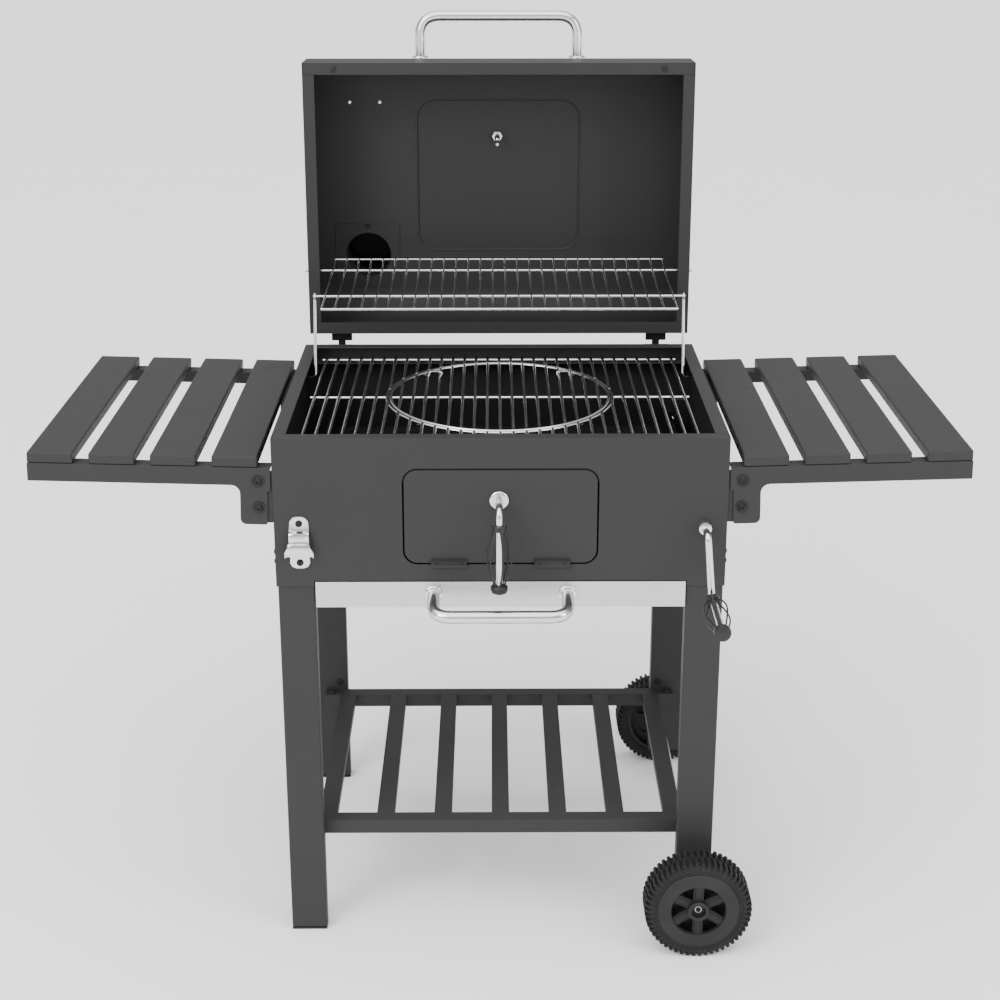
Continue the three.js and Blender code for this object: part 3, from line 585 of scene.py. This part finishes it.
def wheel_cover(end, sy, hub):
    """A dished cover with six ribbed spokes sunk below its rim, a centre cap and a screw."""
    face = hub + Vector((0, sy * 21.4, 0)) * MM
    outward = (0, sy, 0)
    dish = turned([(37, -3), (38.5, 0), (56.5, 0), (57.6, -1), (57.6, -4), (50, -5), (46, -19), (14, -19),
                   (14, -21), (48, -21), (52, -6.5), (37, -5)], face, outward, 72)
    cap = turned([(0, -19), (12.5, -19), (12.5, -5.5), (11, -4), (8.4, -3.6), (7.6, -6), (0, -6)],
                 face, outward)
    spokes = []
    for a in turns(6, 0.5):
        way = wheel_way(a)
        for half in (-5.4, -2.7, 0, 2.7, 5.4):
            across = Vector((-way.z, 0, way.x)) * half * MM
            sink = -2.6 - 0.055 * half * half
            spokes.append([face + across + way * r * MM + Vector((0, sy * (sink - drop), 0)) * MM
                           for r, drop in ((11, 2.6), (20, 3.4), (30, 2.2), (38.5, 0.4))])
    screw = [(face + Vector((0, sy * -6.2, 0)) * MM, outward)]
    place(f"wheel_{end}_cover", f"wheel_{end}",
          [dish, cap, wires(spokes, 2.1, PLASTIC, 8), screws(screw, 4.2, PLASTIC, 1.4, 0.7)],
          PLASTIC)


for end, sy in ENDS:
    hub = at(WHEEL_X, sy * WHEEL_Y, WHEEL_Z)
    tyre(end, sy, hub)
    wheel_cover(end, sy, hub)


# ---- cooking grate and its round insert ----
def ring(radius, z):
    return [at(radius * math.cos(a), GRATE_RING_Y + radius * math.sin(a), z) for a in turns(96)]


def grate_bar_places():
    return [-GRATE_HALF_X + i * 2 * GRATE_HALF_X / (GRATE_BARS - 1) for i in range(GRATE_BARS)]


def bar(x, y0, y1):
    return [at(x, y0, GRATE_BAR_Z), at(x, y1, GRATE_BAR_Z)]


def cooking_grate():
    """Bars that stop at the ring, on cross wires, with four pegs that reach in under the insert."""
    bars = []
    for x in grate_bar_places():
        if abs(x) < GRATE_RING:
            reach = math.sqrt(GRATE_RING**2 - x * x)
            bars.append(bar(x, -GRATE_HALF_Y, GRATE_RING_Y - reach))
            bars.append(bar(x, GRATE_RING_Y + reach, GRATE_HALF_Y))
        else:
            bars.append(bar(x, -GRATE_HALF_Y, GRATE_HALF_Y))
    cross = [[at(-GRATE_CROSS_X, y, GRATE_CROSS_Z), at(GRATE_CROSS_X, y, GRATE_CROSS_Z)] for y in (-196, 196)]
    cross += [[at(sx * GRATE_CROSS_X, 8, GRATE_CROSS_Z), at(sx * 161, 8, GRATE_CROSS_Z)] for _, sx in SIDES]
    pegs = [[at(r * math.cos(a), GRATE_RING_Y + r * math.sin(a), 731.1) for r in (163, 150.4)]
            for a in turns(4, 0.5)]
    place("cooking_grate_wires", "cooking_grate", [
        wires(bars, 2.3, GRATE_WIRE), wires(cross, 2.7, GRATE_WIRE, 12),
        wires([ring(GRATE_RING, 735.2)], 2.2, GRATE_WIRE, closed=True), wires(pegs, 1.5, GRATE_WIRE, 8),
    ], GRATE_WIRE, ["cooking_grate"])


def grate_insert():
    """The lift-out round of the grate, with two lugs to lift it by."""
    bars = []
    for x in grate_bar_places():
        if abs(x) < INSERT_RING - 10:
            reach = math.sqrt(INSERT_RING**2 - x * x)
            bars.append(bar(x, GRATE_RING_Y - reach, GRATE_RING_Y + reach))
    lugs = [eased([at(sx * x, 103, z) for x, z in ((86, 736), (86, 741.5), (104, 741.5), (104, 736))], 3, 5)
            for _, sx in SIDES]
    cross = [[at(-155, 8, GRATE_CROSS_Z), at(155, 8, GRATE_CROSS_Z)]]
    place("grate_insert_wires", "grate_insert", [
        wires(bars, 2.3, GRATE_WIRE), wires(cross, 2.6, GRATE_WIRE, 12),
        wires([ring(INSERT_RING, 735.9)], 2.2, GRATE_WIRE, closed=True), wires(lugs, 1.7, GRATE_WIRE, 8),
    ], GRATE_WIRE, ["grate_insert"])


cooking_grate()
grate_insert()


# ---- warming rack and its struts ----
def rack_z(y):
    return RACK_Z + (y - RACK_Y) * RACK_SLOPE


def warming_rack():
    """Bars that turn up to a lip at the back, on wires from side to side."""
    bars = []
    for i in range(RACK_BARS):
        x = -RACK_HALF_X + i * 2 * RACK_HALF_X / (RACK_BARS - 1)
        bars.append(eased([at(x, RACK_FRONT, rack_z(RACK_FRONT) + 1.2), at(x, RACK_Y, RACK_Z + 1.2),
                           at(x, RACK_LIP_Y, RACK_LIP_Z + 0.6)], 9, 5))
    cross = [[at(-half, y, rack_z(y)), at(half, y, rack_z(y))]
             for half, y in ((302, RACK_Y), (277.6, RACK_LINK_Y), (260.6, RACK_FRONT))]
    lip = [[at(-260.6, RACK_LIP_Y, RACK_LIP_Z), at(260.6, RACK_LIP_Y, RACK_LIP_Z)]]
    place("warming_rack_wires", "warming_rack", [
        wires(bars, 1.5, GRATE_WIRE), wires(cross, 2.4, GRATE_WIRE, 12), wires(lip, 1.9, GRATE_WIRE),
    ], GRATE_WIRE, ["warming_rack"])


def rack_strut(side, sx):
    """A wire with an eye on the rack's link wire and a foot turned outwards."""
    link_z = rack_z(RACK_LINK_Y)
    eye = [at(sx * STRUT_X, RACK_LINK_Y + STRUT_EYE * math.cos(a), link_z + STRUT_EYE * math.sin(a))
           for a in turns(32)]
    down = Vector((0, STRUT_FOOT_Y - RACK_LINK_Y, STRUT_FOOT_Z - link_z)).normalized() * STRUT_EYE
    leg = eased([at(sx * STRUT_X, RACK_LINK_Y + down.y, link_z + down.z),
                 at(sx * STRUT_X, STRUT_FOOT_Y, STRUT_FOOT_Z),
                 at(sx * 304, STRUT_FOOT_Y, STRUT_FOOT_Z)], 7, 8)
    place(f"rack_strut_{side}_wire", "rack_struts", [
        wires([leg], 2.2, CHROME, 12), wires([eye], 1.3, CHROME, closed=True),
    ], CHROME, [f"rack_strut_{side}"])


warming_rack()
for side, sx in SIDES:
    rack_strut(side, sx)


# ---- tube handles ----
def flange(base, way, radius):
    """A spun foot with a rounded shoulder."""
    return turned([(0, 0), (radius, 0), (radius, 1.0), (radius - 0.6, 1.8), (radius - 2.4, 2.7),
                   (radius - 4, 3.0), (0, 3.0)], base, way)


def lid_handle():
    foot = LID_FRONT - GAP
    corners = [(-1, 1), (-1, LID_HANDLE_OUT), (1, LID_HANDLE_OUT), (1, 1)]
    tube = eased([in_lid(sx * LID_HANDLE_X, foot - out, LID_HANDLE_Z) for sx, out in corners], 31, 14)
    feet = [flange(in_lid(sx * LID_HANDLE_X, foot, LID_HANDLE_Z), lid_way(-1, 0), 13) for _, sx in SIDES]
    place("lid_handle_tube", "lid", [wires([tube], 8.2, TUBE, 28), *feet], TUBE, ["lid_handle"])


def drawer_handle():
    corners = [(-1, 1.5, 0), (-1, PULL_OUT, PULL_DROP), (1, PULL_OUT, PULL_DROP), (1, 1.5, 0)]
    tube = eased([at(sx * PULL_X, STRIP_FACE - out, PULL_Z - drop) for sx, out, drop in corners], 26, 14)
    feet = [flange(at(sx * PULL_X, STRIP_FACE, PULL_Z), (0, -1, 0), 12.5) for _, sx in SIDES]
    place("drawer_handle_tube", "ash_drawer", [wires([tube], 8.5, TUBE, 28), *feet],
          TUBE, ["drawer_handle"])


lid_handle()
drawer_handle()


# ---- door handle and crank with their sprung wire grips ----
COLLAR = [(5.2, 0), (8.6, 0), (9.4, 1.2), (9.4, 6), (8.6, 7.2), (5.2, 7.2)]
END_CAP = [(0, 0), (8, 0), (10.2, 1.2), (11.4, 4), (11.4, 8), (9.6, 10.4), (7.2, 11.4),
           (5.2, 11.4), (5.2, 3), (0, 3)]


def cage(start, way, length):
    """Six bowed wires round the rod, widest near the middle of their length."""
    way = Vector(way).normalized()
    across = way.orthogonal().normalized()
    bowed = []
    for a in turns(6):
        out = Matrix.Rotation(a, 3, way) @ across
        line = []
        for step in range(15):
            t = step / 14
            radius = 6.6 + 10.6 * math.sin(math.pi * t**0.9) ** 1.3
            line.append(start + way * t * length * MM + out * radius * MM)
        bowed.append(line)
    return wires(bowed, 1.15, BLACK_WIRE, 8)


def door_handle():
    """A rod out of a flange stud and down, with the grip round its lower part."""
    out = PANEL_FACE - STUD_OUT
    rod = eased([at(STUD_X, -221.5, STUD_Z), at(STUD_X, out, STUD_Z), at(STUD_X, out, 550)], 12, 12)
    place("door_handle_rod", "door_handle",
          [wires([rod], HANDLE_ROD, TUBE, 24), flange(at(STUD_X, PANEL_FACE, STUD_Z), (0, -1, 0), 13)],
          TUBE, ["door_handle"])
    place("door_grip_cage", "door_handle", [
        cage(at(STUD_X, out, 640), (0, 0, -1), 84),
        turned(COLLAR, at(STUD_X, out, 643.8), (0, 0, -1)), turned(END_CAP, at(STUD_X, out, 548.3), (0, 0, 1)),
    ], BLACK_WIRE, ["door_grip"])


def crank():
    """A lift shaft with two rollers through the firebox, cranked down and out to the grip."""
    rod = eased([at(CRANK_X, 223, CRANK_Z), at(CRANK_X, CRANK_OUT, CRANK_Z),
                 at(CRANK_GRIP_X, CRANK_OUT, CRANK_GRIP_Z), at(CRANK_GRIP_X, -369, CRANK_GRIP_Z)], 9, 12)
    bushing = turned([(0, 0), (9.4, 0), (9.4, 10.6), (8.4, 12.6), (6, 13.7), (0, 13.7)],
                     at(CRANK_X, PANEL_FACE, CRANK_Z), (0, -1, 0))
    rollers = [turned([(0, -6), (7.2, -6), (8, -5.2), (8, 5.2), (7.2, 6), (0, 6)],
                      at(CRANK_X, y, CRANK_Z), (0, 1, 0)) for y in (-120, 120)]
    place("crank_rod", "crank", [wires([rod], HANDLE_ROD, TUBE, 24), bushing, *rollers],
          TUBE, ["crank"])
    place("crank_grip_cage", "crank", [
        cage(at(CRANK_GRIP_X, -272, CRANK_GRIP_Z), (0, -1, 0), 90),
        turned(COLLAR, at(CRANK_GRIP_X, -268.2, CRANK_GRIP_Z), (0, -1, 0)),
        turned(END_CAP, at(CRANK_GRIP_X, -371.8, CRANK_GRIP_Z), (0, 1, 0)),
    ], BLACK_WIRE, ["crank_grip"])


door_handle()
crank()


# ---- thermometer ----
def on_dial(radius, degrees, out):
    a = math.radians(degrees)
    turn = Vector((0, 0, 1)).rotation_difference(LID_TOP_WAY)
    return on_lid_top(*DIAL_AT, out) + turn @ Vector((radius * math.cos(a), radius * math.sin(a), 0)) * MM


def dial_part(profile, out, sides):
    return turned(profile, on_lid_top(*DIAL_AT, out), LID_TOP_WAY, sides)


def thermometer():
    """A round case on the lid with its face, marks and needle, and the probe and nut beneath."""
    place("thermometer_case", "lid", [
        dial_part([(0, 0), (25.5, 0), (27, 1.2), (27, 8), (26, 8.7), (24.6, 8.7), (24, 7.2),
                   (0, 7.2)], 3.3, 64),
        dial_part([(0, 0), (3, 1.6), (4.2, 4), (4.2, 37), (0, 37)], -34, 40),
        dial_part([(4, 0), (8.2, 0), (9, 0.8), (9, 4.6), (8.2, 5.4), (4, 5.4)], -4.4, 6),
    ], TUBE, ["thermometer"])
    place("thermometer_face", "lid", [dial_part([(0, 0), (23.6, 0), (23.6, 0.5), (0, 0.5)], 10.6, 64)],
          DIAL)
    marks = [[on_dial(18.5 if k % 5 else 16, 225 - k * 9, 11.3), on_dial(21.5, 225 - k * 9, 11.3)]
             for k in range(31)]
    place("thermometer_marks", "lid", [wires(marks, 0.3, PLASTIC, 6)], PLASTIC)
    place("thermometer_needle", "lid", [
        wires([[on_dial(4, 20, 11.5), on_dial(16, 200, 11.5)]], 0.5, NEEDLE, 8),
        dial_part([(0, 0), (2.2, 0), (1.8, 1.2), (0, 1.2)], 11, 20),
    ], NEEDLE)


thermometer()


# ---- screws and bolts on the cart ----
def bracket_bolts():
    spots = [(at(sx * 319.5, sy * 221, z), (0, sy, 0)) for _, sx in SIDES for _, sy in ENDS for z in (691, 654)]
    place("table_bracket_bolts", "frame", [screws(spots, 6.2, PLASTIC, 1.35, 0.65)], PLASTIC)


def frame_screws():
    spots = []
    for _, sx in SIDES:
        spots += [(at(sx * 301.5, sy * 207, z), (sx, 0, 0)) for _, sy in ENDS for z in (585, 571)]
        spots += [(at(sx * 275, sy * 185.5, 165), (0, 0, 1)) for _, sy in ENDS]
        spots.append((at(sx * 262, 195.7, 178), (0, -1, 0)))
        spots += [(at(sx * x, 222.3, 712), (0, 1, 0)) for x in (236, 248, 260)]
    place("frame_screws", "frame", [screws(spots, 4.2, PLASTIC, 1.5, 0.55)], PLASTIC)


bracket_bolts()
frame_screws()


# ---- bottle opener ----
# The middle of the opener in X, in millimetres.
opener_x = 500 * (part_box("bottle_opener")[0][0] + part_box("bottle_opener")[1][0])


def stamped(rows):
    """A stamped strip on the front panel: rows of how far out, how high and half how wide."""
    bm = bmesh.new()
    last = None
    for out, z, half in rows:
        row = [bm.verts.new(at(opener_x + k * half, -220.8 - out, z)) for k in (-1, -0.5, 0, 0.5, 1)]
        if last:
            for k in range(4):
                bm.faces.new([last[k], row[k], row[k + 1], last[k + 1]])
        last = row
    sheet = bpy.data.meshes.new("stamped")
    bm.to_mesh(sheet)
    bm.free()
    thick = through_modifier(sheet, "SOLIDIFY", {"thickness": 1.6 * MM, "offset": 0})
    return through_modifier(thick, "BEVEL", {
        "width": 0.35 * MM, "segments": 2, "limit_method": "ANGLE", "angle_limit": math.radians(50)})


def bottle_opener():
    """A stamped plate that steps out into a hood with two claws, and its foot."""
    hood = stamped([(0.4, 641, 5), (0.4, 639, 9), (0.4, 634, 12.4), (0.4, 622, 13.4), (1.4, 620, 13.4),
                    (6.4, 618, 13.4), (7.4, 616, 13.4), (7.4, 608, 13.4), (6, 606.4, 13.6), (4.4, 606, 14),
                    (9.4, 604, 14.4), (10.6, 601, 15), (11.2, 594, 18.6), (9.6, 587, 18.8)])
    foot = stamped([(6.8, 594, 11), (3.2, 590, 12), (0.6, 586, 12), (0.4, 582, 13), (0.4, 574, 13.4),
                    (0.4, 569, 10.6), (0.4, 566.6, 5)])
    claw = ((13, -232, 600), (18.4, -231, 594), (18.6, -228, 585))
    claws = [eased([at(opener_x + sx * x, y, z) for x, y, z in claw], 4, 5) for _, sx in SIDES]
    place("opener_stamped", "frame", [hood, foot, wires(claws, 1.2, TUBE)], TUBE, ["bottle_opener"])
    spots = [(at(opener_x, -222, z), (0, -1, 0)) for z in (631, 575)]
    place("opener_screws", "frame", [screws(spots, 3.8, PLASTIC, 1.25, 0.7)], PLASTIC)


def slat_screws():
    """A screw up into each table slat from each arm."""
    spots = []
    for _, sx in SIDES:
        for _, sy in ENDS:
            for i in range(SLATS):
                reach = SLAT_FIRST + i * SLAT_PITCH
                spot = at(sx * (TABLE_X + reach * math.cos(TABLE_TILT)), sy * 210,
                          TABLE_Z - 2 + reach * math.sin(TABLE_TILT))
                spots.append((spot, (sx * math.sin(TABLE_TILT), 0, -math.cos(TABLE_TILT))))
    place("slat_screws", "frame", [screws(spots, 3.6, CHROME, 1.4, 0.6)], CHROME)


bottle_opener()
slat_screws()


# ---- small things on the lid and the door ----
def lid_screws():
    """Screws by the chimney, behind the handle's feet and on the lid's back by the hinges."""
    spots = [(on_lid_top(CHIMNEY_X, y, -1.5), -LID_TOP_WAY) for y in (-168, -87)]
    spots += [(in_lid(sx * LID_HANDLE_X, LID_FRONT + 1.5, LID_HANDLE_Z), lid_way(1, 0)) for _, sx in SIDES]
    spots += [(in_lid(sx * x, -17.2, 40), lid_way(1, 0)) for _, sx in SIDES for x in (236, 260)]
    place("lid_screws", "lid", [screws(spots, 3.8, PLASTIC, 1.5, 0.55)], PLASTIC)


def bead(x0, x1, y0, y1, corner, radius, out):
    """A pressed bead round a rounded rectangle on the lid's inner face."""
    line = []
    for cx, cy, start in ((x1 - corner, y1 - corner, 0), (x0 + corner, y1 - corner, 90),
                          (x0 + corner, y0 + corner, 180), (x1 - corner, y0 + corner, 270)):
        for k in range(9):
            a = math.radians(start + k * 11.25)
            line.append(on_lid_top(cx + corner * math.cos(a), cy + corner * math.sin(a), out))
    return wires([line], radius, COAT, 12, closed=True)


def lid_beads():
    """Beads round the embossed field and round the chimney's foot."""
    place("lid_beads", "lid",
          [bead(-131, 131, -372, -128, 30, 2.3, 0.2), bead(-264, -160, -172, -68, 6, 0.9, -1.5)],
          COAT)


def door_hinge_plates():
    plates = [plate([at(sx * x, y, z) for x in (45, 93) for y in (-224.9, -223.6) for z in (570.2, 578)], 0.4)
              for _, sx in SIDES]
    spots = [(at(sx * x, -224.7, 574.6), (0, -1, 0)) for _, sx in SIDES for x in (52, 86)]
    place("door_hinge_plates", "front_door", [*plates, screws(spots, 1.7, PLASTIC, 1.2, 0.6)],
          PLASTIC)


def lid_hinge_plates():
    plates = [plate([in_lid(sx * x, y, z) for x in (232, 264) for y in (-19, -6) for z in (19.6, 22.4)], 0.6)
              for _, sx in SIDES]
    spots = [(in_lid(sx * x, -12, 19.6), lid_way(0, -1)) for _, sx in SIDES for x in (237, 259)]
    place("lid_hinge_plates", "lid", [*plates, screws(spots, 2.6, COAT_DARK, 1.3, 0.6)],
          COAT_DARK)


def lid_pins():
    """Bare pins that face into the lid."""
    spots = [(on_lid_top(x, -368, -1.5), -LID_TOP_WAY) for x in (-235.5, -188)]
    spots.append((on_lid_top(-2, -300, 1.5), -LID_TOP_WAY))
    place("badge_pins", "lid", [screws(spots, 1.9, CHROME, 1.2, 0.8)], CHROME)


def lid_bumpers():
    bumpers = [turned([(0, 0), (5.4, 0), (5.4, 0.5), (4.6, 0.85), (0, 0.85)],
                      in_lid(sx * 250, LID_FRONT + 9, LID_RIM), lid_way(0, -1), 24) for _, sx in SIDES]
    place("lid_bumpers", "lid", bumpers, PLASTIC)


lid_screws()
lid_beads()
door_hinge_plates()
lid_hinge_plates()
lid_pins()
lid_bumpers()

# ---- floor and light ----
bm = bmesh.new()
bmesh.ops.create_grid(bm, x_segments=8, y_segments=8, size=60)
floor_mesh = bpy.data.meshes.new("floor")
bm.to_mesh(floor_mesh)
bm.free()
floor = bpy.data.objects.new("floor", floor_mesh)
scene.collection.objects.link(floor)
paint = Finish("floor_paint")
floor_mesh.materials.append(paint.done({
    "Base Color": paint.blend(paint.noise(3, 2), (0.93, 0.93, 0.93), (0.95, 0.95, 0.95)), "Roughness": 0.9,
    "Specular IOR Level": 0.15}))

world = bpy.data.worlds.new("studio")
scene.world = world
world.use_nodes = True
world.node_tree.nodes["Background"].inputs["Color"].default_value = (1, 1, 1, 1)
world.node_tree.nodes["Background"].inputs["Strength"].default_value = 0.8


def soft_box(name, place_at, size, power):
    """A rectangular lamp aimed 0.6 m above the origin."""
    data = bpy.data.lights.new(name, "AREA")
    data.shape = "RECTANGLE"
    data.size, data.size_y = size
    data.energy = power
    light = bpy.data.objects.new(name, data)
    scene.collection.objects.link(light)
    light.location = place_at
    light.rotation_euler = (Vector((0, 0, 0.6)) - Vector(place_at)).to_track_quat("-Z", "Y").to_euler()


soft_box("key", (-2.2, -2.6, 2.6), (1.6, 2.4), 90)
soft_box("fill", (2.6, -2.0, 2.0), (1.2, 2.2), 45)
sky = bpy.data.lights.new("skylight", "SUN")
sky.energy = 3.6
sky.angle = math.radians(85)
skylight = bpy.data.objects.new("skylight", sky)
scene.collection.objects.link(skylight)
skylight.rotation_euler = (math.radians(14), math.radians(-8), 0)
